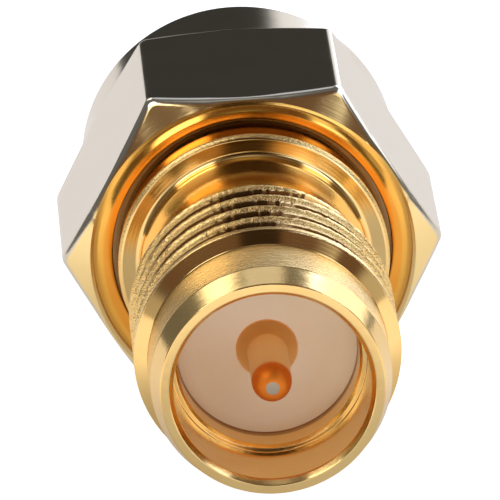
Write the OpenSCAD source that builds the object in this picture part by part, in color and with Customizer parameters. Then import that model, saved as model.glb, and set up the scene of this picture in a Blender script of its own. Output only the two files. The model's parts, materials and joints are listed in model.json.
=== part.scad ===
// Coaxial adapter: plug with a captive coupling nut on one end, reverse polarity jack on the other.
// Every piece is turned about one axis. Heights along that axis are measured from the nut's
// jack side face, positive towards the jack's mouth. The part lies on one flat of the nut.

/* [Coupling nut] */
// Width across the flats of the hexagon
hex_af = 8.0; // [7.8:0.05:9]
// Turned diameter over the corners of the hexagon
hex_corner_d = 9.16; // [9.02:0.02:9.2]
// Length of the hexagon
hex_l = 5.1; // [4.5:0.1:7]
// Angle of the corner chamfers, from the end face
corner_angle = 30; // [20:1:40]
// Diameter where the corner chamfer meets the jack side face
nut_face_d = 7.78; // [7.5:0.02:7.9]
// Diameter of the round collar on the plug side
collar_d = 7.6; // [7.4:0.05:7.75]
// Length of the collar
collar_l = 2.1; // [1:0.1:4]
// Chamfer on the collar's end
collar_chamfer = 0.25; // [0.05:0.05:0.4]
// Diameter where the flat ring of the jack side face ends
dish_d = 7.22; // [7:0.02:7.4]
// Depth of the dished ring at its inner edge
dish_depth = 0.04; // [0.02:0.01:0.1]
// Depth of the countersink that leads into the nut's bore
countersink_depth = 0.25; // [0.12:0.01:0.5]
// Minor diameter of the nut's inside thread
nut_thread_d = 5.66; // [5.5:0.02:5.9]
// Diameter of the run-out relief behind the inside thread
nut_relief_d = 6.5; // [6.36:0.02:6.6]
// Chamfer at both ends of the inside thread
nut_thread_chamfer = 0.42; // [0.1:0.02:0.5]

/* [Body] */
// Diameter of the flange and hub
hub_d = 6.54; // [6.3:0.02:6.6]
// Length of the hub, from the flange's face to the gasket seat
hub_l = 2.46; // [2.2:0.02:3]
// How far the flange stands out of the nut's face
flange_proud = 0.56; // [0.3:0.02:0.9]
// Chamfer on the edges of the hub
hub_chamfer = 0.06; // [0.02:0.01:0.15]
// Diameter of the relief neck behind the thread
neck_d = 5.48; // [5.2:0.02:5.6]
// Length of the neck
neck_l = 2.64; // [1.5:0.02:4]
// Major diameter of the outside thread
thread_d = 6.28; // [6.1:0.01:6.35]
// Length of the outside thread with its chamfers
thread_l = 3.46; // [2.5:0.02:6]
// Length of the run-out chamfer beside the neck
runout_l = 0.35; // [0.1:0.01:0.5]
// Length of the lead chamfer beside the nose
lead_l = 0.2; // [0.05:0.01:0.4]
// Length of the plain nose in front of the thread
nose_l = 2.0; // [1:0.1:3]
// Diameter of the nose
nose_d = 5.58; // [5.4:0.02:5.8]
// Length of the slight taper towards the mouth's rim
nose_taper_l = 0.66; // [0.2:0.02:0.9]
// Diameter of the nose at the mouth's rim
nose_rim_d = 5.24; // [5.1:0.02:5.38]
// Diameter of the plug's ferrule
ferrule_d = 4.58; // [4.5:0.01:4.6]
// Length of the ferrule from the gasket seat
ferrule_l = 2.5; // [2.2:0.1:3.4]
// Chamfer on the ferrule's end
ferrule_chamfer = 0.08; // [0.02:0.01:0.15]

/* [Socket] */
// Diameter of the jack's socket
socket_d = 4.6; // [4.6:0.01:4.7]
// Depth of the socket, from the rim to its seat
socket_depth = 1.75; // [1.5:0.05:2]
// Radial width of the chamfer inside the rim
rim_chamfer = 0.11; // [0.05:0.01:0.15]
// Length of the chamfer inside the rim
rim_chamfer_l = 0.15; // [0.05:0.01:0.3]
// Chamfer on the inner edge of the socket's seat
seat_chamfer = 0.07; // [0.02:0.01:0.09]

/* [Insulator] */
// Diameter of the insulator's jack side
bead_jack_d = 4.26; // [4.2:0.01:4.34]
// Diameter of the insulator's plug side
bead_plug_d = 4.1; // [4:0.01:4.16]
// Depth of the insulator's face below the socket's seat
bead_recess = 0.8; // [0.2:0.05:1.2]
// Length of the insulator's jack side, up to the shoulder that stops it
bead_jack_l = 4.6; // [2:0.1:6]

/* [Centre contact] */
// Diameter of the contact in the insulator's jack side
shank_jack_d = 1.42; // [1.36:0.01:1.5]
// Diameter of the contact in the insulator's plug side
shank_plug_d = 1.27; // [1.2:0.01:1.32]
// Length of the thicker shank, from the insulator's face
shank_jack_l = 3.4; // [1:0.1:5]
// Diameter of both pins
pin_d = 0.94; // [0.9:0.01:1]
// Length of the cone between the thick shank and the jack's pin
pin_cone_l = 0.3; // [0.1:0.02:0.5]
// Length of the jack's pin beyond the insulator
jack_pin_l = 2.5; // [1.6:0.1:2.6]
// Length of the plug's pin beyond the ferrule
plug_pin_l = 1.9; // [1.3:0.1:2.5]
// Length of the rounded tip
tip_l = 0.5; // [0.3:0.02:0.7]
// Diameter of the flat on the tip
tip_flat_d = 0.32; // [0.2:0.02:0.4]

/* [Snap ring] */
// Distance of the ring's middle from the nut's face
ring_from_face = 1.0; // [0.8:0.05:1.2]
// Thickness of the ring along the axis
ring_t = 0.5; // [0.3:0.02:0.6]
// How far the ring reaches into the nut
ring_in_nut = 0.23; // [0.15:0.01:0.25]
// How far the ring reaches into the hub
ring_in_hub = 0.3; // [0.2:0.01:0.4]
// Width of the ring's split
ring_gap = 1.6; // [0.5:0.1:3]

/* [Gasket] */
// Outside diameter of the gasket
gasket_d = 6.0; // [5.4:0.05:6.2]
// Thickness of the gasket
gasket_t = 0.8; // [0.5:0.05:1.1]

/* [Clearances] */
// Radial gap between hub and nut
hub_clear = 0.09; // [0.03:0.01:0.1]
// Gap all round the snap ring in its grooves
ring_clear = 0.03; // [0.02:0.01:0.05]
// Extra depth of the hub's groove, into which the ring is pressed for assembly
ring_squeeze = 0.16; // [0.1:0.01:0.3]
// Gap between the hub's end and the nut's inner step
step_clear = 0.15; // [0.05:0.01:0.3]
// Gap in front of the gasket, before the inside thread starts
gasket_clear = 0.2; // [0.1:0.02:0.4]
// Radial gap of a seated piece in its hole
seat_clear = 0.01; // [0.005:0.001:0.02]

/* [Hidden] */
$fn = 128;

// Reach of a cutting tool past the face that it opens
over = 0.5;

// Heights along the axis, from the mouth to the nut's end
flange_z = flange_proud;
thread_back_z = flange_z + neck_l;
thread_front_z = thread_back_z + thread_l;
mouth_z = thread_front_z + nose_l;
socket_seat_z = mouth_z - socket_depth;
bead_face_z = socket_seat_z - bead_recess;
bead_step_z = bead_face_z - bead_jack_l;
hub_back_z = flange_z - hub_l;
ferrule_end_z = hub_back_z - ferrule_l;
gasket_front_z = hub_back_z - gasket_t;
hex_back_z = -hex_l;
nut_end_z = -hex_l - collar_l;

// Nut bore and grooves, tied to the hub and the ring
nut_bore_d = hub_d + 2 * hub_clear;
nut_groove_d = nut_bore_d + 2 * (ring_in_nut + ring_clear);
hub_groove_d = hub_d - 2 * (ring_in_hub + ring_squeeze);
groove_w = ring_t + 2 * ring_clear;
groove_z = -ring_from_face;
nut_step_z = hub_back_z - step_clear;
nut_thread_back_z = gasket_front_z - gasket_clear;

// Revolves a half section, given as [radius, height] points
module turned(section)
    rotate_extrude() polygon(section);

// Lays the turned axis level, the mouth towards -Y, on one flat of the nut
module lay_down()
    translate([0, (mouth_z + nut_end_z) / 2, hex_af / 2])
        rotate([90, 0, 0])
            children();

// Outside of the body in one pass, from the mouth to the ferrule's end
function body_outside() = [
    [0, mouth_z],
    [nose_rim_d / 2, mouth_z],
    [nose_d / 2, mouth_z - nose_taper_l],
    [nose_d / 2, thread_front_z],
    [thread_d / 2, thread_front_z - lead_l],
    [thread_d / 2, thread_back_z + runout_l],
    [neck_d / 2, thread_back_z],
    [neck_d / 2, flange_z],
    [hub_d / 2 - hub_chamfer, flange_z],
    [hub_d / 2, flange_z - hub_chamfer],
    [hub_d / 2, groove_z + groove_w / 2],
    [hub_groove_d / 2, groove_z + groove_w / 2],
    [hub_groove_d / 2, groove_z - groove_w / 2],
    [hub_d / 2, groove_z - groove_w / 2],
    [hub_d / 2, hub_back_z + hub_chamfer],
    [hub_d / 2 - hub_chamfer, hub_back_z],
    [ferrule_d / 2, hub_back_z],
    [ferrule_d / 2, ferrule_end_z + ferrule_chamfer],
    [ferrule_d / 2 - ferrule_chamfer, ferrule_end_z],
    [0, ferrule_end_z]
];

// Stepped hole through the body: socket, seat, and the two diameters that hold the insulator
function body_hole() = [
    [0, mouth_z + over],
    [socket_d / 2 + rim_chamfer, mouth_z + over],
    [socket_d / 2 + rim_chamfer, mouth_z],
    [socket_d / 2, mouth_z - rim_chamfer_l],
    [socket_d / 2, socket_seat_z],
    [bead_jack_d / 2 + seat_chamfer, socket_seat_z],
    [bead_jack_d / 2, socket_seat_z - seat_chamfer],
    [bead_jack_d / 2, bead_step_z],
    [bead_plug_d / 2, bead_step_z],
    [bead_plug_d / 2, ferrule_end_z - over],
    [0, ferrule_end_z - over]
];

module body()
    color("goldenrod")
        lay_down()
            difference() {
                turned(body_outside());
                turned(body_hole());
            }

// Turned outside of the nut: the corner chamfers at both ends of the hexagon, then the collar
function nut_outside() = [
    [0, 0],
    [nut_face_d / 2, 0],
    [hex_corner_d / 2, -(hex_corner_d - nut_face_d) / 2 * tan(corner_angle)],
    [hex_corner_d / 2, hex_back_z + (hex_corner_d - collar_d) / 2 * tan(corner_angle)],
    [collar_d / 2, hex_back_z],
    [collar_d / 2, nut_end_z + collar_chamfer],
    [collar_d / 2 - collar_chamfer, nut_end_z],
    [0, nut_end_z]
];

// Hole through the nut: dished face, bore, ring groove, relief, inside thread, mouth
function nut_hole() = [
    [0, over],
    [nut_face_d / 2, over],
    [nut_face_d / 2, 0],
    [dish_d / 2, -dish_depth],
    [nut_bore_d / 2, -countersink_depth],
    [nut_bore_d / 2, groove_z + groove_w / 2],
    [nut_groove_d / 2, groove_z + groove_w / 2],
    [nut_groove_d / 2, groove_z - groove_w / 2],
    [nut_bore_d / 2, groove_z - groove_w / 2],
    [nut_bore_d / 2, nut_step_z],
    [nut_relief_d / 2, nut_step_z],
    [nut_relief_d / 2, nut_thread_back_z],
    [nut_thread_d / 2, nut_thread_back_z - nut_thread_chamfer],
    [nut_thread_d / 2, nut_end_z + nut_thread_chamfer],
    [nut_thread_d / 2 + nut_thread_chamfer, nut_end_z],
    [nut_thread_d / 2 + nut_thread_chamfer, nut_end_z - over],
    [0, nut_end_z - over]
];

// Hexagonal bar stock that the nut is turned from
module hexagon_bar()
    translate([0, 0, nut_end_z - over])
        cylinder(d = hex_af / cos(30), h = 2 * over - nut_end_z, $fn = 6);

module coupling_nut()
    color("silver")
        lay_down()
            difference() {
                intersection() {
                    hexagon_bar();
                    turned(nut_outside());
                }
                turned(nut_hole());
            }

function ring_section() = [
    [hub_d / 2 - ring_in_hub, groove_z - ring_t / 2],
    [nut_groove_d / 2 - ring_clear, groove_z - ring_t / 2],
    [nut_groove_d / 2 - ring_clear, groove_z + ring_t / 2],
    [hub_d / 2 - ring_in_hub, groove_z + ring_t / 2]
];

module snap_ring()
    color("darkgoldenrod")
        lay_down()
            difference() {
                turned(ring_section());
                translate([-ring_gap / 2, -nut_groove_d, groove_z - ring_t])
                    cube([ring_gap, nut_groove_d, 2 * ring_t]);
            }

function gasket_section() = [
    [ferrule_d / 2 + seat_clear, hub_back_z],
    [gasket_d / 2, hub_back_z],
    [gasket_d / 2, gasket_front_z],
    [ferrule_d / 2 + seat_clear, gasket_front_z]
];

module gasket()
    color("firebrick")
        lay_down()
            turned(gasket_section());

// Where the thick shank of the contact ends on a step inside the insulator
shank_step_z = bead_face_z - shank_jack_l;

function insulator_section() = [
    [shank_jack_d / 2 + seat_clear, bead_face_z],
    [bead_jack_d / 2 - seat_clear, bead_face_z],
    [bead_jack_d / 2 - seat_clear, bead_step_z],
    [bead_plug_d / 2 - seat_clear, bead_step_z],
    [bead_plug_d / 2 - seat_clear, ferrule_end_z],
    [shank_plug_d / 2 + seat_clear, ferrule_end_z],
    [shank_plug_d / 2 + seat_clear, shank_step_z],
    [shank_jack_d / 2 + seat_clear, shank_step_z]
];

module insulator()
    color("wheat")
        lay_down()
            turned(insulator_section());

// Rounded tip of a pin: an elliptical arc from the pin's side to the flat on its end.
// The pin points along +1 or -1 and its side ends at base_z.
tip_steps = 6;
function tip_arc(base_z, way) = [
    for (i = [0 : tip_steps])
        let (turn = 90 * i / tip_steps)
        [
            tip_flat_d / 2 + (pin_d - tip_flat_d) / 2 * cos(turn),
            base_z + way * tip_l * sin(turn)
        ]
];

jack_tip_z = bead_face_z + jack_pin_l;
plug_tip_z = ferrule_end_z - plug_pin_l;
function reversed(list) = [for (i = [len(list) - 1 : -1 : 0]) list[i]];

function contact_section() = concat(
    [[0, jack_tip_z]],
    reversed(tip_arc(jack_tip_z - tip_l, 1)),
    [
        [pin_d / 2, bead_face_z + pin_cone_l],
        [shank_jack_d / 2, bead_face_z],
        [shank_jack_d / 2, shank_step_z],
        [shank_plug_d / 2, shank_step_z],
        [shank_plug_d / 2, ferrule_end_z],
        [pin_d / 2, ferrule_end_z]
    ],
    tip_arc(plug_tip_z + tip_l, -1),
    [[0, plug_tip_z]]
);

module centre_contact()
    color("orange")
        lay_down()
            turned(contact_section());

body();
coupling_nut();
snap_ring();
gasket();
insulator();
centre_contact();
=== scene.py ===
# %% [markdown]
# # A coaxial adapter, dressed over its CAD frame
# The part is a plug with a spinning hexagon nut on one end and a threaded jack on the other.
# Almost every piece was turned on a lathe, so almost every piece here is a half section that is
# spun about one axis. The CAD solids already have the right size and place. This script gives
# them what a lathe and a plating bath leave behind: rounded edges, threads, tool marks, gold.

# %% Load the frame
import json
import math

import bmesh
import bpy
from mathutils import Matrix, Vector, noise


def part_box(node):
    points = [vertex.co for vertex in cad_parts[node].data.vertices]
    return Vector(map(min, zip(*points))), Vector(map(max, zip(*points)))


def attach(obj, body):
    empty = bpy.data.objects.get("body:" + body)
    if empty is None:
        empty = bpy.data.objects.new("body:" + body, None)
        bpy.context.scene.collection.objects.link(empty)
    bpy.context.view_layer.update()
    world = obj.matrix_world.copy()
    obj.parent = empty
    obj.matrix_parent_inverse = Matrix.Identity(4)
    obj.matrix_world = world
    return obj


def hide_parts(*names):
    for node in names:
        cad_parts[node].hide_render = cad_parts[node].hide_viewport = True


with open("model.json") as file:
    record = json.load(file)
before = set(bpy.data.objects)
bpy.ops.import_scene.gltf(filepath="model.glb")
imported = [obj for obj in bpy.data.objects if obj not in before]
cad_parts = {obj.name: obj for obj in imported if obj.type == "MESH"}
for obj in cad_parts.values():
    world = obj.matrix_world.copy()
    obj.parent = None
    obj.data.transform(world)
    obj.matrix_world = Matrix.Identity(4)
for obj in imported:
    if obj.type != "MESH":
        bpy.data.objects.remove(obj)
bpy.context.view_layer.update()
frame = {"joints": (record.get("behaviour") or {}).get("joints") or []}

# %% [markdown]
# ## Sizes read off the frame
# A turned part is easiest to describe by a radius and a height along its axis. All lengths below
# are millimetres. Heights start at the nut's jack side face and grow towards the jack's mouth,
# which looks along -Y. The boxes of the CAD nodes give the main sizes, so nothing is fitted twice.

# %% Main sizes
MM = 0.001
axis_z = frame["joints"][0]["pos_m"][2] / MM
face_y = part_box("coupling_nut")[0].y / MM


def reach(node):
    """Largest radius, lowest and highest height of a CAD node, in millimetres."""
    low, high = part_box(node)
    return (high.x - low.x) / 2 / MM, face_y - high.y / MM, face_y - low.y / MM


hub_r, ferrule_end, mouth = reach("body")
corner_r, nut_end, nut_face = reach("coupling_nut")
ring_r, ring_back, ring_front = reach("snap_ring")
gasket_r, gasket_front, hub_back = reach("gasket")
bead_jack_r, bead_back, bead_face = reach("insulator")
shank_jack_r, plug_tip, jack_tip = reach("centre_contact")
flat_r = (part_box("coupling_nut")[1].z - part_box("coupling_nut")[0].z) / 2 / MM
print(f"axis at z {axis_z:.2f}, mouth {mouth:.2f}, nut end {nut_end:.2f}, corners r {corner_r:.2f}")

# %% [markdown]
# ## A helper for turned pieces
# A lathe could be copied with a cylinder and many loop cuts, but a half section is closer to how
# a drawing shows such a part. A few points become wire vertices. Each corner that the tool left
# rounded gets a vertex bevel, and one spin operator then sweeps the wire round the axis.

# %% Spin a half section
ROUND_STEPS = 3
WELD = 1e-5


def section_wire(bm, points, closed):
    """Wire of (radius, height, corner round) points in the plane y = 0, with its corners rounded."""
    verts = [bm.verts.new((r, 0, z)) for r, z, _ in points]
    pairs = list(zip(verts, verts[1:]))
    if closed:
        pairs.append((verts[-1], verts[0]))
    for pair in pairs:
        bm.edges.new(pair)
    for corner in sorted({p[2] for p in points if p[2] > 0}):
        chosen = [v for v, p in zip(verts, points) if p[2] == corner]
        bmesh.ops.bevel(
            bm, geom=chosen, offset=corner, offset_type="OFFSET", affect="VERTICES",
            segments=ROUND_STEPS, profile=0.5, material=-1,
        )


def spin_section(points, steps, closed=True):
    """A new bmesh: the half section swept about the Z axis, with its poles and seam closed."""
    bm = bmesh.new()
    section_wire(bm, points, closed)
    bmesh.ops.spin(
        bm, geom=bm.verts[:] + bm.edges[:], cent=(0, 0, 0), axis=(0, 0, 1), dvec=(0, 0, 0),
        angle=2 * math.pi, steps=steps, use_merge=True,
    )
    bmesh.ops.remove_doubles(bm, verts=bm.verts[:], dist=WELD)
    bmesh.ops.recalc_face_normals(bm, faces=bm.faces[:])
    return bm


# %% [markdown]
# ## From the lathe to the table
# Every section is drawn upright, in millimetres. One matrix scales it to metres and lays the axis
# level with the mouth towards -Y, as the CAD does, so the finished object itself stays at the
# origin. Weighted normals keep the long plain bands flat beside their small rounded edges. Their
# weights are areas, which in square metres would be too tiny to count, so they are baked first.

# %% Finish a piece
LAY_DOWN = (
    Matrix.Translation((0, face_y * MM, axis_z * MM))
    @ Matrix.Rotation(math.pi / 2, 4, "X")
    @ Matrix.Scale(MM, 4)
)
SHARP_ANGLE = math.radians(38)


def make_piece(bm, node, body):
    """Makes a bmesh an object that rides on a body and stands for a CAD node."""
    for face in bm.faces:
        face.smooth = True
    mesh = bpy.data.meshes.new(node + "_mesh")
    bm.to_mesh(mesh)
    bm.free()
    mesh.set_sharp_from_angle(angle=SHARP_ANGLE)
    piece = bpy.data.objects.new("finished_" + node, mesh)
    bpy.context.scene.collection.objects.link(piece)
    normals = piece.modifiers.new("flat_bands", "WEIGHTED_NORMAL")
    normals.keep_sharp = True
    flattened = piece.evaluated_get(bpy.context.evaluated_depsgraph_get())
    piece.data = bpy.data.meshes.new_from_object(flattened)
    piece.modifiers.clear()
    piece.data.transform(LAY_DOWN)
    piece.data.name = node + "_skin"
    bpy.data.meshes.remove(mesh)
    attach(piece, body)
    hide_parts(node)
    print(f"{piece.name}: {len(piece.data.vertices)} vertices, {len(piece.data.polygons)} faces")
    return piece


# %% [markdown]
# ## The screw thread
# Jack and nut carry the same fine thread, 36 turns to the inch, right handed. A screw modifier
# would do, but the spin operator can also climb: with a step along the axis for each step of its
# turn it sweeps a small section into a ridge. One turn is swept and then copied up the axis, which
# is much faster than one long sweep.

# %% Sweep a thread ridge
PITCH = 25.4 / 36
TURN_STEPS = 320
FLANK = math.tan(math.radians(30))
SINK, CREST_ROUND = 0.03, 0.05


def ridge_section(root_r, crest_r, crest_w):
    """Section of a ridge as (radius, height) points; its feet sink a little into the core."""
    depth = abs(crest_r - root_r)
    foot = crest_w / 2 + depth * FLANK
    way = math.copysign(1, crest_r - root_r)
    half = [
        (root_r - way * SINK, foot),
        (root_r, foot),
        (crest_r - way * CREST_ROUND, crest_w / 2 + CREST_ROUND * FLANK),
        (crest_r - way * CREST_ROUND * 0.3, crest_w / 2),
        (crest_r, crest_w / 4),
    ]
    return half + [(crest_r, 0)] + [(r, -z) for r, z in reversed(half)]


def climb(bm, geom, steps):
    """Sweeps a wire up the thread's helix and returns its last copy."""
    return bmesh.ops.spin(
        bm, geom=geom, cent=(0, 0, 0), axis=(0, 0, 1), dvec=(0, 0, PITCH / TURN_STEPS),
        angle=2 * math.pi * steps / TURN_STEPS, steps=steps,
    )["geom_last"]


def swept_ridge(section, last, turns):
    """A closed ridge of that many turns that ends at height last, over the top of the axis."""
    bm = bmesh.new()
    start = Matrix.Rotation(math.pi / 2 - 2 * math.pi * turns, 3, "Z")
    first = last - turns * PITCH
    verts = [bm.verts.new(start @ Vector((r, 0, first + z))) for r, z in section]
    wire = [bm.edges.new(pair) for pair in zip(verts, verts[1:] + verts[:1])]
    whole, odd_steps = divmod(round(turns * TURN_STEPS), TURN_STEPS)
    wire_end = climb(bm, verts + wire, odd_steps)
    odd_part = set(bm.faces)
    climb(bm, wire_end, TURN_STEPS)
    one_turn = [f for f in bm.faces if f not in odd_part]
    for copy in range(1, whole):
        made = bmesh.ops.duplicate(bm, geom=one_turn)["geom"]
        moved = [g for g in made if isinstance(g, bmesh.types.BMVert)]
        bmesh.ops.translate(bm, verts=moved, vec=(0, 0, copy * PITCH))
    bmesh.ops.remove_doubles(bm, verts=bm.verts[:], dist=WELD)
    bmesh.ops.holes_fill(bm, edges=[e for e in bm.edges if e.is_boundary], sides=0)
    bmesh.ops.recalc_face_normals(bm, faces=bm.faces[:])
    return bm


# %% [markdown]
# A real thread fades where the tool runs out, and plated crests are never as clean as a drawing.
# So the ridge's height grows smoothly from nothing over part of a turn, and a little noise nicks
# the jack's crests.

# %% Run out and nick a ridge
FADE_TURNS = 0.4
NICK_SIZE = 0.09


def fade(share):
    """Smooth step from 0 to 1."""
    share = min(max(share, 0), 1)
    return share * share * (3 - 2 * share)


def shape_ridge(bm, root_r, crest_r, last, turns, fade_last, nick):
    """Fades a ridge's height at its ends and nicks its crest."""
    depth = crest_r - root_r
    for v in bm.verts:
        radius = v.co.xy.length
        angle = math.atan2(v.co.y, v.co.x) / (2 * math.pi) - 0.25
        left = (last - v.co.z) / PITCH
        left = round(left + angle) - angle
        height = fade((turns - left) / FADE_TURNS)
        if fade_last:
            height *= fade(left / FADE_TURNS)
        bite = nick * max((radius - root_r) / depth, 0) ** 4
        spot = v.co / NICK_SIZE
        lifted = root_r + (radius - root_r) * height
        v.co.xy *= (lifted - math.copysign(bite * abs(noise.noise(spot)), depth)) / radius
        v.co.z += bite * noise.noise(spot * 1.7)


def add_thread(bm, root_r, crest_r, crest_w, last, turns, fade_last=True, nick=0.0):
    """Adds a finished thread ridge to a turned piece."""
    ridge = swept_ridge(ridge_section(root_r, crest_r, crest_w), last, turns)
    shape_ridge(ridge, root_r, crest_r, last, turns, fade_last, nick)
    carrier = bpy.data.meshes.new("ridge")
    ridge.to_mesh(carrier)
    ridge.free()
    bm.from_mesh(carrier)
    print(f"thread of {turns} turns, {len(carrier.vertices)} vertices")
    bpy.data.meshes.remove(carrier)


# %% [markdown]
# ## The body
# The body is one turned bar: nose with the socket, thread, relief neck, flange, the hub that the
# nut spins on, its ring groove, and the ferrule of the plug. The outline runs down the outside
# from the mouth and back up through the stepped hole. The third number is the corner's round.

# %% Body
rim_r, nose_r, neck_r, crest_r = 2.62, 2.82, 2.74, 3.14
ferrule_r, ferrule_chamfer, bead_plug_r = 2.29, 0.08, 2.05
flange_front = 0.56
thread_back, thread_front, lead_l, land_w = 3.2, 6.66, 0.2, 0.16
nose_taper_l = 0.66
socket_r, socket_seat = 2.30, 6.91
rim_chamfer, rim_chamfer_l, seat_chamfer = 0.11, 0.15, 0.07
bore_jack_r, bead_step = 2.13, 1.51
groove_r, groove_play, edge = 2.81, 0.03, 0.09
crest_front = thread_front - lead_l
land_back = crest_front - land_w
body_outline = [
    (rim_r, mouth, 0.03),
    (nose_r, mouth - nose_taper_l, 0.02),
    (nose_r, thread_front, 0.02),
    (crest_r, crest_front, 0.02),
    (crest_r, land_back, 0.01),
    (neck_r, land_back - (crest_r - neck_r) * FLANK, 0.02),
    (neck_r, flange_front, 0.14),
    (hub_r - edge, flange_front, 0.03),
    (hub_r, flange_front - edge, 0.03),
    (hub_r, ring_front + groove_play, 0),
    (groove_r, ring_front + groove_play, 0),
    (groove_r, ring_back - groove_play, 0),
    (hub_r, ring_back - groove_play, 0),
    (hub_r, hub_back + edge, 0.02),
    (hub_r - edge, hub_back, 0.02),
    (ferrule_r, hub_back, 0.02),
    (ferrule_r, ferrule_end + ferrule_chamfer, 0.03),
    (ferrule_r - ferrule_chamfer, ferrule_end, 0.02),
    (bead_plug_r, ferrule_end, 0.02),
    (bead_plug_r, bead_step, 0),
    (bore_jack_r, bead_step, 0),
    (bore_jack_r, socket_seat - seat_chamfer, 0.01),
    (bore_jack_r + seat_chamfer, socket_seat, 0.01),
    (socket_r, socket_seat, 0.02),
    (socket_r, mouth - rim_chamfer_l, 0.03),
    (socket_r + rim_chamfer, mouth, 0.02),
]
crest_flat, last_crest, jack_turns = 0.09, 6.35, 4.35
bm = spin_section(body_outline, steps=256)
add_thread(bm, neck_r, crest_r, crest_flat, last_crest, jack_turns, fade_last=False, nick=0.03)
body = make_piece(bm, "body", "barrel")

# %% [markdown]
# ## The coupling nut
# The nut is cut from hexagonal bar, and a lathe tool chamfers both ends, so each flat is bounded by
# scalloped curves where cone and flat meet. Polishing then rounds those edges, widely at the corners
# and hardly at all along the middle of a flat. A boolean and a bevel would give one even round, so
# here the outline is spun first, with rings that only mark the two shoulders by a large radius.
# The jack side face ends in a rounded lip, which falls into a countersink round the hub.

# %% Nut outline
face_r, collar_r, nut_bore_r, nut_groove_r = 3.89, 3.87, 3.36, 3.62
countersink_depth, hex_back, nut_step = 0.3, -5.1, -2.05
face_lip = [(3.60, 0.115), (3.68, 0.06), (3.79, 0.016)]
collar_chamfer, thread_root_r, thread_minor_r = 0.25, 3.2, 2.83
entry_wide, entry_deep = 0.05, 0.06
SHOULDER_STEPS = 6
MARK_R = 2 * corner_r
front_marks = [(MARK_R, 1 + i, 0) for i in range(SHOULDER_STEPS + 1)]
back_marks = [(MARK_R, -1 - i, 0) for i in reversed(range(SHOULDER_STEPS + 1))]
nut_outline = [
    (face_r, nut_face, 0.03),
    *front_marks,
    *back_marks,
    (collar_r, hex_back, 0.05),
    (collar_r, nut_end + collar_chamfer, 0.06),
    (collar_r - collar_chamfer, nut_end, 0.05),
    (thread_root_r + entry_wide, nut_end, 0.02),
    (thread_root_r, nut_end + entry_deep, 0.02),
    (thread_root_r, nut_step, 0.02),
    (nut_bore_r, nut_step, 0),
    (nut_bore_r, ring_back - groove_play, 0),
    (nut_groove_r, ring_back - groove_play, 0),
    (nut_groove_r, ring_front + groove_play, 0),
    (nut_bore_r, ring_front + groove_play, 0),
    (nut_bore_r, nut_face - countersink_depth, 0.03),
    *[(radius, nut_face - depth, 0) for radius, depth in face_lip],
]
bm = spin_section(nut_outline, steps=360)
print(f"nut outline of {len(nut_outline)} points, {len(bm.verts)} vertices")

# %% [markdown]
# Each marked ring then moves onto the hexagon. A curve with three control points, on the cone, at
# the edge and on the flat, gives the rounded shoulder, and its reach shrinks where the cone is short.

# %% Shape the shoulders
SIDE, SLANT = math.radians(60), math.radians(30)
CONE = math.tan(SLANT)
SHOULDER, SHOULDER_SHARE = 0.2, 0.85
point_r = flat_r / math.cos(SIDE / 2)
corner_round = (point_r - corner_r) / (1 / math.sin(SIDE) - 1)
round_middle = corner_r - corner_round
round_turn = math.atan2(corner_round * math.sin(SLANT), round_middle + corner_round * math.cos(SLANT))


def hexagon_radius(angle):
    """Distance from the axis to the side of the hexagon, with its six long corners rounded."""
    off = abs((angle + SIDE / 2) % SIDE - SIDE / 2)
    if off > round_turn:
        return flat_r / math.cos(SIDE / 2 - off)
    across = round_middle * math.sin(off)
    return round_middle * math.cos(off) + math.sqrt(corner_round**2 - across**2)


def shoulder_point(radius, foot_r, foot_z, way, share):
    """Radius and height on a shoulder: on its chamfer cone at share 0, on the flat at share 1."""
    length = min(SHOULDER, SHOULDER_SHARE * (radius - foot_r) / math.cos(SLANT))
    corner = Vector((radius, foot_z - way * (radius - foot_r) * CONE))
    on_cone = corner + length * Vector((-math.cos(SLANT), way * math.sin(SLANT)))
    on_flat = corner - Vector((0, way * length))
    return on_cone.lerp(corner, share).lerp(corner.lerp(on_flat, share), share)


for v in [v for v in bm.verts if v.co.xy.length > MARK_R - WELD]:
    radius = hexagon_radius(math.atan2(v.co.y, v.co.x))
    share = (abs(v.co.z) - 1) / SHOULDER_STEPS
    if v.co.z > 0:
        radius, v.co.z = shoulder_point(radius, face_r, nut_face, 1, share)
    else:
        radius, v.co.z = shoulder_point(radius, collar_r, hex_back, -1, share)
    v.co.xy *= radius / v.co.xy.length
bmesh.ops.recalc_face_normals(bm, faces=bm.faces[:])
print(f"hexagon corners rounded to {corner_round:.2f} mm")
nut_crest_flat, nut_last_crest, nut_turns = 0.17, gasket_front - 0.5, 4.9
add_thread(bm, thread_root_r, thread_minor_r, nut_crest_flat, nut_last_crest, nut_turns)
nut = make_piece(bm, "coupling_nut", "nut")

# %% [markdown]
# ## Snap ring, gasket and insulator
# The spring ring is a square wire bent to a C that keeps the nut on the hub. It is a small face
# spun through less than a full turn, which leaves its two ends capped. The gasket and the white
# bead are plain rings, so they use the turning helper again.

# %% Snap ring
ring_in_r, ring_gap, ring_edge = 2.97, 1.6, 0.04
half_gap = math.asin(ring_gap / 2 / ring_in_r)
bm = bmesh.new()
turn_in = Matrix.Rotation(half_gap - math.pi / 2, 3, "Z")
corners = [
    (ring_in_r, ring_back), (ring_r, ring_back), (ring_r, ring_front), (ring_in_r, ring_front)
]
wire_end = bm.faces.new([bm.verts.new(turn_in @ Vector((r, 0, z))) for r, z in corners])
bmesh.ops.bevel(
    bm, geom=wire_end.verts[:], offset=ring_edge, offset_type="OFFSET", affect="VERTICES",
    segments=ROUND_STEPS, profile=0.5, material=-1,
)
bmesh.ops.spin(
    bm, geom=bm.faces[:], cent=(0, 0, 0), axis=(0, 0, 1), dvec=(0, 0, 0),
    angle=2 * (math.pi - half_gap), steps=120,
)
bmesh.ops.recalc_face_normals(bm, faces=bm.faces[:])
ring = make_piece(bm, "snap_ring", "nut")

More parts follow.
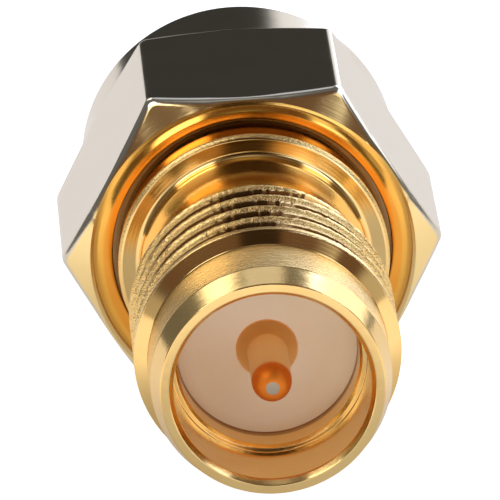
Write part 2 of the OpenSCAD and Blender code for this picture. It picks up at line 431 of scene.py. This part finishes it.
# %% Gasket and insulator
contact_play, bead_play, rubber_round = 0.02, 0.01, 0.12
bm = spin_section([
    (ferrule_r + bead_play, hub_back, rubber_round),
    (gasket_r, hub_back, rubber_round),
    (gasket_r, gasket_front, rubber_round),
    (ferrule_r + bead_play, gasket_front, rubber_round),
], steps=128)
gasket = make_piece(bm, "gasket", "barrel")

shank_plug_r, shank_jack_l = 0.635, 3.4
shank_step = bead_face - shank_jack_l
bm = spin_section([
    (shank_jack_r + contact_play, bead_face, 0.02),
    (bead_jack_r, bead_face, 0.03),
    (bead_jack_r, bead_step, 0),
    (bead_plug_r - bead_play, bead_step, 0),
    (bead_plug_r - bead_play, bead_back, 0.03),
    (shank_plug_r + contact_play, bead_back, 0.02),
    (shank_plug_r + contact_play, shank_step, 0),
    (shank_jack_r + contact_play, shank_step, 0),
], steps=160)
insulator = make_piece(bm, "insulator", "barrel")

# %% [markdown]
# ## The centre contact
# One slim turned pin runs right through. Both its ends are rounded by a quarter ellipse down to a
# tiny flat, which a formula gives, and a cone joins the jack's pin to the thicker shank.

# %% Contact
pin_r, tip_l, tip_flat_r, pin_cone_l = 0.47, 0.5, 0.16, 0.3
TIP_STEPS = 10


def tip_arc(tip, way):
    """Quarter ellipse from the flat on a tip back to the pin's side; way is +1 or -1 along the axis."""
    quarter = [math.pi / 2 * i / TIP_STEPS for i in range(TIP_STEPS + 1)]
    return [
        (tip_flat_r + (pin_r - tip_flat_r) * math.sin(a), tip - way * tip_l * (1 - math.cos(a)), 0)
        for a in quarter
    ]


contact_outline = [
    (0, jack_tip, 0),
    *tip_arc(jack_tip, 1),
    (pin_r, bead_face + pin_cone_l, 0.03),
    (shank_jack_r, bead_face, 0.01),
    (shank_jack_r, shank_step, 0),
    (shank_plug_r, shank_step, 0),
    (shank_plug_r, ferrule_end, 0.02),
    (pin_r, ferrule_end, 0),
    *reversed(tip_arc(plug_tip, -1)),
    (0, plug_tip, 0),
]
bm = spin_section(contact_outline, steps=96, closed=False)
contact = make_piece(bm, "centre_contact", "barrel")

# %% [markdown]
# ## Shader maths in plain expressions
# Node trees get long when every sum is a node that is placed by hand. One small class wraps a
# socket, so that 1 - mask or height * 0.5 adds the Math nodes by itself. Its node method makes any
# other node from its type, its settings and its inputs.

# %% A socket with arithmetic
class Wire:
    """An output socket in a node tree, with arithmetic on plain values."""

    def __init__(self, tree, socket=None):
        self.tree = tree
        self.socket = socket

    def node(self, kind, settings=None, inputs=None, output=0):
        """Adds a node; settings go in first, then the values or links of its input sockets."""
        made = self.tree.nodes.new(kind)
        for key, value in (settings or {}).items():
            setattr(made, key, value)
        for key, value in (inputs or {}).items():
            if isinstance(value, Wire):
                self.tree.links.new(value.socket, made.inputs[key])
            else:
                made.inputs[key].default_value = value
        return Wire(self.tree, made.outputs[output]) if made.outputs else None

    def math(self, operation, *terms):
        return self.node("ShaderNodeMath", {"operation": operation}, dict(enumerate(terms)))

    def __add__(self, other):
        return self.math("ADD", self, other)

    __radd__ = __add__

    def __sub__(self, other):
        return self.math("SUBTRACT", self, other)

    def __rsub__(self, other):
        return self.math("SUBTRACT", other, self)

    def __mul__(self, other):
        return self.math("MULTIPLY", self, other)

    __rmul__ = __mul__

    def larger(self, other):
        return self.math("MAXIMUM", self, other)

    def step(self, low, high):
        """0 below low, 1 above high, smooth between; low may be the larger one."""
        if low > high:
            return 1 - self.step(high, low)
        return self.node(
            "ShaderNodeMapRange", {"interpolation_type": "SMOOTHSTEP"},
            {"Value": self, "From Min": low, "From Max": high, "To Min": 0.0, "To Max": 1.0},
        )

    def band(self, low, high, soft):
        """1 between low and high, fading over soft at both ends."""
        return self.step(low - soft, low + soft) * self.step(high + soft, high - soft)

    def blend(self, start, end):
        """Colour between start and end, with this wire as the factor."""
        return self.node(
            "ShaderNodeMix", {"data_type": "RGBA"}, {0: self, 6: start, 7: end}, output=2
        )

    def noise(self, scale, detail=2.0):
        """Perlin noise over this vector, about 0 to 1."""
        return self.node(
            "ShaderNodeTexNoise", {}, {"Vector": self, "Scale": scale, "Detail": detail}
        )

    def bump(self, depth_mm):
        """A normal from this wire as a height of 0 to 1 over depth_mm."""
        return self.node(
            "ShaderNodeBump", {}, {"Height": self, "Distance": depth_mm * MM, "Strength": 1.0}
        )

    def axes(self):
        """The x, y and z of this vector."""
        split = self.node("ShaderNodeSeparateXYZ", {}, {0: self}).socket.node.outputs
        return [Wire(self.tree, split[i]) for i in range(3)]


# %% [markdown]
# ## Where a point lies on the turned part
# Tool marks run round the axis, so a finish needs each point's radius and height, as the sections
# do. Object coordinates are metres in the part's own frame, because every piece keeps its place in
# its mesh. A few Math nodes turn them into millimetres about the axis.

# %% Turned coordinates
def new_finish(name):
    """An empty material and a wire to build its nodes with."""
    finish = bpy.data.materials.new(name)
    finish.use_nodes = True
    finish.node_tree.nodes.clear()
    return finish, Wire(finish.node_tree)


def turned_place(wire):
    """Object position in millimetres about the axis, with its radius and height."""
    place = wire.node("ShaderNodeTexCoord", output=3)
    mm = wire.node(
        "ShaderNodeMapping", {"vector_type": "POINT"},
        {"Vector": place, "Scale": (1 / MM,) * 3, "Location": (0, -face_y, -axis_z)},
    )
    x, y, z = mm.axes()
    radius = wire.math("SQRT", x * x + z * z)
    return mm, radius, 0 - y


def lathe_lines(wire, radius, height, per_mm):
    """Noise that changes along the section only, as the marks of a turning tool do."""
    along = wire.node("ShaderNodeCombineXYZ", {}, {0: radius, 1: height, 2: 0.0})
    return along.noise(per_mm, 3.0)


def close_finish(wire, **sockets):
    """Principled shader and output."""
    named = {key.replace("_", " "): value for key, value in sockets.items()}
    shader = wire.node("ShaderNodeBsdfPrincipled", {}, named)
    wire.node("ShaderNodeOutputMaterial", {}, {"Surface": shader})


# %% [markdown]
# ## Gold plate
# Gold over brass is a metal: its colour is its mirror colour. The plate is thin, so it shows the
# surface under it. Faces are smooth with fine tool marks, but the crests of the thread, the band
# behind the nose and the edge of the flange were left grainy and glitter. Noise along the section
# makes the marks, and a finer noise in all directions makes the grain. The thread's narrow valleys
# get painted shade, a darker colour, because little light finds its way out of them.

# %% Gold finish of the body
RICH_GOLD = (1.0, 0.70, 0.28, 1)
RED_GOLD = (0.93, 0.52, 0.16, 1)
VALLEY_SHADE_GOLD = (0.42, 0.20, 0.06, 1)


def gold_finish():
    finish, wire = new_finish("gold_plate")
    mm, radius, height = turned_place(wire)
    lines = lathe_lines(wire, radius, height, 26.0)
    cloud = mm.noise(1.1, 2.0)
    fine = mm.noise(28.0, 2.0)
    wave = mm.noise(4.5, 2.0)
    nose = height.step(thread_front - 0.02, thread_front + 0.05)
    grain_band = height.band(thread_front + 0.03, mouth - nose_taper_l, 0.04)
    grain_band = grain_band * radius.step(nose_r - 0.08, nose_r - 0.04)
    crests = height.band(thread_back, crest_front, 0.03)
    crests = crests * radius.step(crest_r - 0.14, crest_r - 0.06)
    flange_edge = height.band(flange_front - 0.12, flange_front + 0.1, 0.01)
    flange_edge = flange_edge * radius.step(hub_r - 0.09, hub_r - 0.05)
    grain = grain_band.larger(crests).larger(flange_edge)
    # Painted shade: a darker colour down in the thread's valleys.
    valley_shade = height.band(thread_back + 0.2, land_back, 0.05)
    valley_shade = valley_shade * radius.step(crest_r - 0.05, crest_r - 0.25)
    plate = (cloud.step(0.35, 0.75) * 0.25).blend(RICH_GOLD, RED_GOLD)
    colour = (valley_shade * 0.85).blend(plate, VALLEY_SHADE_GOLD)
    roughness = 0.05 + lines * 0.10 + grain * 0.12 + nose * 0.06
    relief = lines * 0.05 + grain * fine * 0.7 + grain_band * fine * 0.9 + wave * nose * 0.15
    close_finish(
        wire, Base_Color=colour, Metallic=1.0, Roughness=roughness, Normal=relief.bump(0.02)
    )
    return finish


body.data.materials.append(gold_finish())
print("gold plate on", body.name)

# %% [markdown]
# ## Two plates on the nut
# The nut's flats and collar are a cool, nearly neutral plate, while its turned chamfer and face
# shine pale gold. Both metals share one material. Where a point lies decides which one shows: the
# height above the chamfer's cone is nearly nothing on the turned end and grows along the flats.
# The countersink gets a redder painted reflection of the hub, and the gap behind it gets deep brown
# painted shade.

# %% Nut finish
NICKEL = (0.75, 0.685, 0.56, 1)
PALE_GOLD = (0.98, 0.74, 0.34, 1)
GAP_SHADE_BROWN = (0.12, 0.05, 0.02, 1)
INSIDE_R, SINK_R = 3.69, face_lip[0][0]
GAP_BACK, GAP_FRONT = -1.0, -0.28


def nut_finish():
    finish, wire = new_finish("nickel_and_gold_plate")
    mm, radius, height = turned_place(wire)
    lines = lathe_lines(wire, radius, height, 24.0)
    cloud = mm.noise(0.9, 3.0)
    specks = mm.noise(9.0, 4.0)
    above_cone = height - nut_face + (radius - face_r) * CONE
    near_face = height.step(-0.5, -0.3)
    face = radius.step(face_r + 0.03, face_r - 0.01) * near_face
    inside = radius.step(INSIDE_R + 0.03, INSIDE_R - 0.03)
    turned_end = above_cone.step(-0.014, -0.003).larger(inside).larger(face)
    # Painted shade: deep brown in the gap between the nut and the hub.
    gap_shade = height.band(GAP_BACK, GAP_FRONT, 0.04)
    gap_shade = gap_shade * radius.step(nut_bore_r + 0.08, nut_bore_r + 0.02)
    # Painted reflection: the countersink is redder where it mirrors the hub.
    sink_reflection = radius.step(SINK_R + 0.04, SINK_R - 0.04) * near_face
    plate = turned_end.blend(NICKEL, (sink_reflection * 0.7).blend(PALE_GOLD, RED_GOLD))
    colour = (gap_shade * 0.95).blend(plate, GAP_SHADE_BROWN)
    roughness = 0.10 + cloud * 0.06 + specks.step(0.58, 0.75) * 0.08
    relief = lines * 0.10 * turned_end + specks * 0.05 * (1 - turned_end) + cloud * 0.4
    close_finish(
        wire, Base_Color=colour, Metallic=1.0, Roughness=roughness, Normal=relief.bump(0.01)
    )
    return finish


nut.data.materials.append(nut_finish())
print("nickel and gold plate on", nut.name)

# %% [markdown]
# ## Contact, ring, bead and gasket
# The contact has a redder, softer plate than the body. The ring is bare spring bronze. The bead is
# white fluoropolymer, waxy and slightly see-through, with the rings of the tool that faced it. It
# gets painted shade away from the lamps and towards its rim, and a faint painted glow lightens it.
# The gasket is red rubber with a matt skin.

# %% Small finishes
# The tip's red and its flat's grey are painted reflections, of the gold socket walls and of the pale
# room.
PIN_GOLD, TIP_REFLECTED_RED, FLAT_REFLECTED_GREY = (0.98, 0.64, 0.28, 1), (0.92, 0.27, 0.03, 1), (0.46, 0.38, 0.28, 1)
DARK_BRONZE, LIGHT_BRONZE = (0.62, 0.36, 0.16, 1), (0.80, 0.52, 0.26, 1)
BEAD_WHITE, BEAD_TAN = (0.95, 0.88, 0.77, 1), (0.82, 0.66, 0.48, 1)
DIM_GLOW, WARM_GLOW = (0.80, 0.48, 0.24, 1), (1.0, 0.70, 0.42, 1)
DARK_RUBBER, RED_RUBBER = (0.42, 0.05, 0.03, 1), (0.55, 0.09, 0.05, 1)


def contact_finish():
    finish, wire = new_finish("contact_gold")
    mm, radius, height = turned_place(wire)
    lines = lathe_lines(wire, radius, height, 30.0)
    tip_flat = height.step(jack_tip - 0.05, jack_tip - 0.02)
    tip_flat = tip_flat * radius.step(tip_flat_r + 0.02, tip_flat_r - 0.02)
    tip = height.step(jack_tip - tip_l - 0.1, jack_tip - tip_l + 0.1)
    # Painted reflections: a deep red tip that mirrors the gold socket, and a grey flat that mirrors the
    # pale room.
    colour = tip_flat.blend(tip.blend(PIN_GOLD, TIP_REFLECTED_RED), FLAT_REFLECTED_GREY)
    roughness = 0.36 + lines * 0.14 + tip * 0.14 - tip_flat * 0.25
    relief = lines * 0.3 + mm.noise(12.0) * 0.2 + tip_flat * mm.noise(22.0)
    close_finish(
        wire, Base_Color=colour, Metallic=1.0, Roughness=roughness, Normal=relief.bump(0.008)
    )
    return finish


def bronze_finish():
    finish, wire = new_finish("spring_bronze")
    mm, radius, height = turned_place(wire)
    colour = mm.noise(2.5, 3.0).blend(DARK_BRONZE, LIGHT_BRONZE)
    lines = lathe_lines(wire, radius, height, 20.0)
    close_finish(
        wire, Base_Color=colour, Metallic=1.0, Roughness=0.28 + lines * 0.2, Normal=lines.bump(0.006)
    )
    return finish


def bead_finish():
    finish, wire = new_finish("white_fluoropolymer")
    mm, radius, height = turned_place(wire)
    lines = lathe_lines(wire, radius, height, 9.0)
    cloud = mm.noise(0.8, 3.0)
    # Painted shade towards the rim, next to the socket wall.
    rim_shade = radius.step(bead_jack_r - 0.35, bead_jack_r)
    x, _, z = mm.axes()
    # Painted light and shade: lighter to the right and up, darker away from the lamps.
    lit = (x + z).step(-2.2, 1.6)
    shade = cloud * 0.3 + rim_shade * 0.4 + (1 - lit) * 0.5
    colour = shade.blend(BEAD_WHITE, BEAD_TAN)
    # A painted glow, stronger on the lit side, though the bead is no lamp.
    painted_glow = lit.blend(DIM_GLOW, WARM_GLOW)
    relief = lines * 0.4 + cloud
    close_finish(
        wire, Base_Color=colour, Roughness=0.42 + cloud * 0.1, Normal=relief.bump(0.01),
        Subsurface_Weight=0.25, Subsurface_Radius=(1.0, 0.7, 0.5), Subsurface_Scale=0.3 * MM,
        Emission_Color=painted_glow, Emission_Strength=0.2,
    )
    return finish


def rubber_finish():
    finish, wire = new_finish("red_rubber")
    mm, _, _ = turned_place(wire)
    cloud = mm.noise(3.0, 4.0)
    colour = cloud.blend(DARK_RUBBER, RED_RUBBER)
    close_finish(
        wire, Base_Color=colour, Roughness=0.55 + cloud * 0.2, Normal=mm.noise(18.0, 3.0).bump(0.01)
    )
    return finish


contact.data.materials.append(contact_finish())
ring.data.materials.append(bronze_finish())
insulator.data.materials.append(bead_finish())
gasket.data.materials.append(rubber_finish())
print("finishes", sorted(m.name for m in bpy.data.materials if m.users))

# %% [markdown]
# ## Floor
# The part lies on a plain white sheet. The sheet is a matt surface that takes the part's shadow.
# A little glow that only the camera and mirror-like surfaces see lifts it to clean white. In the
# mirrors it is dark close under the mouth, where the part shades it, and warm further out.

# %% Floor
FLOOR_HALF = 1.5
SHADED_SHEET, WARM_SHEET, MATT_WHITE = (0.1, 0.1, 0.1, 1), (0.9, 0.8, 0.68, 1), (0.8, 0.8, 0.8, 1)
WHITE = (1, 1, 1, 1)
bm = bmesh.new()
bmesh.ops.create_grid(bm, x_segments=1, y_segments=1, size=FLOOR_HALF)
mesh = bpy.data.meshes.new("floor_mesh")
bm.to_mesh(mesh)
bm.free()
floor = bpy.data.objects.new("floor", mesh)
bpy.context.scene.collection.objects.link(floor)


def floor_finish():
    finish, wire = new_finish("white_sheet")
    seen = wire.node("ShaderNodeLightPath", output=0)
    path = seen.socket.node.outputs
    mirrored = Wire(wire.tree, path["Is Glossy Ray"])
    through = Wire(wire.tree, path["Is Transmission Ray"])
    matt = wire.node("ShaderNodeBsdfDiffuse", {}, {"Color": MATT_WHITE})
    mm, _, height = turned_place(wire)
    from_mouth = wire.node(
        "ShaderNodeVectorMath", {"operation": "DISTANCE"},
        {0: mm, 1: (0, -mouth - 3, -axis_z)}, output=1,
    )
    under = from_mouth.step(5, 14).blend(SHADED_SHEET, WARM_SHEET)
    front = height.step(0, 12)
    strength = seen.larger(through) * 0.85 + mirrored * (0.42 + front * 0.27)
    colour = mirrored.blend(WHITE, under)
    glow = wire.node("ShaderNodeEmission", {}, {"Color": colour, "Strength": strength})
    both = wire.node("ShaderNodeAddShader", {}, {0: matt, 1: glow})
    wire.node("ShaderNodeOutputMaterial", {}, {"Surface": both})
    return finish


floor.data.materials.append(floor_finish())
print(f"white sheet {2 * FLOOR_HALF:.0f} m wide")

# %% [markdown]
# ## Studio light
# Polished metal is a picture of the room around it, so the room is painted with care, patch by
# patch. In front stand a dark wall, dim boxes at its sides and two low lights. Behind the part it
# is dark in the middle and bright to the right, and lamps hang overhead. Each row gives the span of
# two angles in degrees, how soft the edges are, and a colour; later rows cover earlier ones.
# Painting them on the world keeps every other view free of stands and cards.

# %% World
world = bpy.data.worlds.new("studio")
bpy.context.scene.world = world
world.use_nodes = True
world.node_tree.nodes.clear()
sky = Wire(world.node_tree)
way = sky.node("ShaderNodeTexCoord", output=0)
way_x, way_y, way_z = way.axes()
DEG = 180 / math.pi
up = sky.math("ARCSINE", way_z) * DEG
from_back = sky.math("ARCTAN2", way_x, way_y) * DEG
from_front = sky.math("ARCTAN2", way_x, 0 - way_y) * DEG
from_top = sky.math("ARCTAN2", way_x, way_z) * DEG
along = sky.math("ARCSINE", way_y) * DEG
room = up.step(74, 84).blend((0.15, 0.15, 0.15, 1), (0.4, 0.4, 0.4, 1))
patches = [
    ((from_front, -75, 75), (up, 12, 70), 6, (0.13, 0.08, 0.06, 1)),
    ((from_front, -60, -33), (up, -4, 10), 3, (0.45, 0.42, 0.40, 1)),
    ((from_front, 36, 70), (up, -4, 14), 3, (0.5, 0.48, 0.45, 1)),
    ((from_front, -12, 15), (up, 0, 51), 3, (0.03, 0.02, 0.015, 1)),
    ((from_front, -24, -7), (up, 9, 20), 3, (0.40, 0.27, 0.18, 1)),
    ((from_front, 10, 22), (up, 0, 14), 4, (0.85, 0.62, 0.40, 1)),
    ((from_front, -15, 2), (up, -4, 7), 2, (2.2, 2.2, 2.2, 1)),
    ((from_front, 7, 17), (up, -4, 6), 2, (1.4, 1.4, 1.4, 1)),
    ((from_front, -34, -14), (along, -64, -54), 2, (1.0, 1.0, 1.0, 1)),
    ((from_front, 19, 40), (along, -63, -50), 2, (1.5, 1.8, 2.6, 1)),
    ((from_back, -22, 10), (up, -4, 40), 2, (0.045, 0.043, 0.04, 1)),
    ((from_back, -20, 20), (up, 42, 62), 4, (0.68, 0.72, 0.86, 1)),
    ((from_back, -42, -27), (up, 17, 30), 2, (1.2, 1.25, 1.3, 1)),
    ((from_back, -46, -20), (up, 32, 50), 4, (2.0, 2.0, 2.0, 1)),
    ((from_back, 12, 21), (up, -4, 34), 2, (1.0, 1.0, 1.05, 1)),
    ((from_back, 20, 42), (up, 0, 42), 3, (2.7, 3.1, 4.2, 1)),
    ((from_back, 42, 80), (up, 6, 46), 4, (1.5, 1.55, 1.7, 1)),
    ((from_top, 40, 54), (along, -40, -18), 3, (1.1, 1.1, 1.1, 1)),
    ((from_top, 40, 60), (along, -20, 18), 3, (1.8, 2.1, 2.7, 1)),
    ((from_top, -52, -23), (along, -37, -6), 2.5, (3.0, 3.0, 3.0, 1)),
]
for (turn, left, right), (tilt, low, high), soft, light in patches:
    patch = turn.band(left, right, soft) * tilt.band(low, high, soft)
    room = patch.blend(room, light)
seen = sky.node("ShaderNodeLightPath", output=0)
shown = seen.blend(room, WHITE)
glow = sky.node("ShaderNodeBackground", {}, {"Color": shown, "Strength": 1.0})
sky.node("ShaderNodeOutputWorld", {}, {"Surface": glow})
print("light patches", len(patches))

# %% [markdown]
# ## Camera
# The picture looks down into the jack's mouth with a long lens, a little from the left and with a
# slight roll. Aim, distance and roll are named, and the lens follows from how many pixels one
# millimetre covers in the 500 pixel frame.

# %% Camera
CAM_UP, CAM_SIDE, CAM_ROLL = math.radians(21.23), math.radians(-1.93), math.radians(-2.98)
CAM_AWAY, PX_PER_MM, FRAME_PX, SENSOR = 220.0, 41.61, 500, 36.0
AIM_SHIFT = (-3.2, 4.6)
back = Vector((
    math.sin(CAM_SIDE) * math.cos(CAM_UP), -math.cos(CAM_SIDE) * math.cos(CAM_UP), math.sin(CAM_UP)
))
right = Vector((math.cos(CAM_SIDE), math.sin(CAM_SIDE), 0))
upward = back.cross(right)
rolled_right = right * math.cos(CAM_ROLL) + upward * math.sin(CAM_ROLL)
rolled_up = back.cross(rolled_right)
shift = (rolled_right * AIM_SHIFT[0] + rolled_up * AIM_SHIFT[1]) / PX_PER_MM
aim = Vector((0, face_y, axis_z)) + shift
place = (aim + back * CAM_AWAY) * MM
lens = bpy.data.cameras.new("camera")
lens.sensor_width = SENSOR
lens.lens = PX_PER_MM * CAM_AWAY * SENSOR / FRAME_PX
lens.clip_start, lens.clip_end = 0.01, 10.0
camera = bpy.data.objects.new("camera", lens)
camera.matrix_world = Matrix((
    (rolled_right.x, rolled_up.x, back.x, place.x),
    (rolled_right.y, rolled_up.y, back.y, place.y),
    (rolled_right.z, rolled_up.z, back.z, place.z),
    (0, 0, 0, 1),
))
bpy.context.scene.collection.objects.link(camera)
bpy.context.scene.camera = camera
bpy.context.scene.view_settings.view_transform = "Standard"
print(f"lens {lens.lens:.0f} mm at {CAM_AWAY:.0f} mm")
